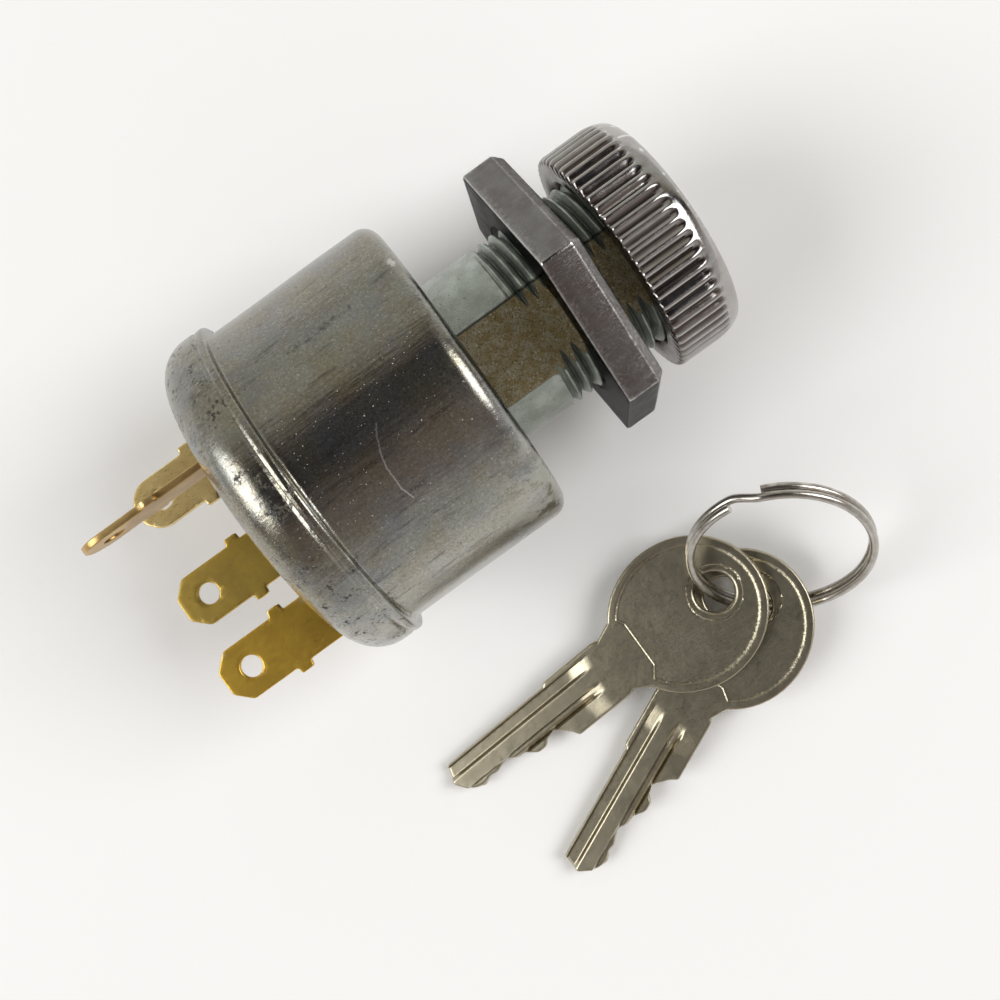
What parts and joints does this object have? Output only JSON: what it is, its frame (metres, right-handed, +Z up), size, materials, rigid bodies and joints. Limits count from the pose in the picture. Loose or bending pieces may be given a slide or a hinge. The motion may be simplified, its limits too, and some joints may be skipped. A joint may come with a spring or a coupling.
{
  "type": "selector key switch",
  "caption": "Panel key switch: crimped round can with blade terminals, threaded neck with hexagon and bezel nuts, and a wafer lock turned by flat keys on a split ring.",
  "frame": {"origin": "bottom centre of the box round the switch and its keys, on the surface they lie on", "axes": "+X along the switch from its terminals to its key face, +Y from the keys towards the switch, +Z up; the switch's own axis dips 3.5 degrees below +X"},
  "size_m": [0.0712, 0.0792, 0.0407],
  "materials": {
    "can_zinc": "zinc plated and passivated sheet steel, satin",
    "cast_zinc": "die-cast zinc, cast satin with a passivated tint",
    "dark_chrome": "dull chrome plate with brush marks",
    "bright_chrome": "bright chrome plate",
    "phenolic": "moulded phenolic, matte",
    "gasket_rubber": "matte",
    "blade_brass": "tarnished sheet brass",
    "contact_copper": "plain copper",
    "rotor_plastic": "moulded nylon",
    "spring_steel": "plain spring wire",
    "ball_steel": "polished steel",
    "plug_nickel": "nickel plated, satin",
    "wafer_brass": "plain sheet brass",
    "key_nickel": "nickel plated, satin with worn edges",
    "ring_steel": "bright wire"
  },
  "bodies": {
    "switch_body": {"switch_can": "can_zinc", "lock_housing": "cast_zinc", "terminal_base": "phenolic", "base_gasket": "gasket_rubber", "terminal_battery": "blade_brass", "terminal_ignition": "blade_brass", "terminal_accessory": "blade_brass", "terminal_starter": "blade_brass", "contact_stud_battery": "contact_copper", "contact_stud_ignition": "contact_copper", "contact_stud_accessory": "contact_copper", "contact_stud_starter": "contact_copper", "return_spring": "spring_steel"},
    "lock_plug": {"lock_plug": "plug_nickel", "plug_clip": "spring_steel", "wafer_spring_1": "spring_steel", "wafer_spring_2": "spring_steel", "wafer_spring_3": "spring_steel", "wafer_spring_4": "spring_steel", "wafer_spring_5": "spring_steel"},
    "contact_rotor": {"contact_rotor": "rotor_plastic", "contact_plate": "contact_copper", "contact_spring": "spring_steel", "detent_spring_1": "spring_steel", "detent_spring_2": "spring_steel"},
    "hex_nut": {"hex_nut": "dark_chrome"},
    "bezel_nut": {"bezel_nut": "bright_chrome"},
    "key_2": {"key_2": "key_nickel"},
    "key_1": {"key_1": "key_nickel"},
    "split_ring": {"split_ring": "ring_steel"},
    "wafer_1": {"wafer_1": "wafer_brass"},
    "wafer_2": {"wafer_2": "wafer_brass"},
    "wafer_3": {"wafer_3": "wafer_brass"},
    "wafer_4": {"wafer_4": "wafer_brass"},
    "wafer_5": {"wafer_5": "wafer_brass"},
    "detent_ball_1": {"detent_ball_1": "ball_steel"},
    "detent_ball_2": {"detent_ball_2": "ball_steel"}
  },
  "joints": [
    {"name": "key_turn", "type": "hinge", "parent": "switch_body", "child": "lock_plug", "pos_m": [-0.01362, 0.01929, 0.02027], "axis": [-0.9982, 0, 0.0606], "range_deg": [0, 80]},
    {"name": "rotor_turn", "type": "hinge", "parent": "switch_body", "child": "contact_rotor", "pos_m": [-0.01362, 0.01929, 0.02027], "axis": [-0.9982, 0, 0.0606], "range_deg": [0, 80]},
    {"name": "hex_nut_travel", "type": "slide", "parent": "switch_body", "child": "hex_nut", "axis": [-0.9982, 0, 0.0606], "range_m": [-0.003, 0.0034]},
    {"name": "bezel_nut_travel", "type": "slide", "parent": "switch_body", "child": "bezel_nut", "axis": [0.9982, 0, -0.0606], "range_m": [0, 0.0075]},
    {"name": "key_set_lift", "type": "slide", "parent": "switch_body", "child": "key_2", "axis": [0, 0, 1], "range_m": [0, 0.08]},
    {"name": "key_1_swing", "type": "hinge", "parent": "key_2", "child": "key_1", "pos_m": [0.01507, -0.01901, 0.00502], "axis": [-0.099, 0.099, 0.9901], "range_deg": [-15, 20]},
    {"name": "ring_swing", "type": "hinge", "parent": "key_2", "child": "split_ring", "pos_m": [0.01507, -0.01901, 0.00502], "axis": [-0.099, 0.099, 0.9901], "range_deg": [0, 8]},
    {"name": "wafer_1_drop", "type": "slide", "parent": "lock_plug", "child": "wafer_1", "axis": [-0.0606, 0, -0.9982], "range_m": [0, 0.0009]},
    {"name": "wafer_2_drop", "type": "slide", "parent": "lock_plug", "child": "wafer_2", "axis": [-0.0606, 0, -0.9982], "range_m": [0, 0.0009]},
    {"name": "wafer_3_drop", "type": "slide", "parent": "lock_plug", "child": "wafer_3", "axis": [-0.0606, 0, -0.9982], "range_m": [0, 0.0009]},
    {"name": "wafer_4_drop", "type": "slide", "parent": "lock_plug", "child": "wafer_4", "axis": [-0.0606, 0, -0.9982], "range_m": [0, 0.0009]},
    {"name": "wafer_5_drop", "type": "slide", "parent": "lock_plug", "child": "wafer_5", "axis": [-0.0606, 0, -0.9982], "range_m": [0, 0.0009]},
    {"name": "detent_ball_1_push", "type": "slide", "parent": "contact_rotor", "child": "detent_ball_1", "axis": [0, -1, 0], "range_m": [0, 0.0005]},
    {"name": "detent_ball_2_push", "type": "slide", "parent": "contact_rotor", "child": "detent_ball_2", "axis": [0, 1, 0], "range_m": [0, 0.0005]}
  ],
  "couplings": [
    {"joint": "rotor_turn", "follows": "key_turn", "ratio": 1},
    {"joint": "wafer_2_drop", "follows": "wafer_1_drop", "ratio": 1},
    {"joint": "wafer_3_drop", "follows": "wafer_1_drop", "ratio": 1},
    {"joint": "wafer_4_drop", "follows": "wafer_1_drop", "ratio": 1},
    {"joint": "wafer_5_drop", "follows": "wafer_1_drop", "ratio": 1},
    {"joint": "detent_ball_2_push", "follows": "detent_ball_1_push", "ratio": 1}
  ]
}
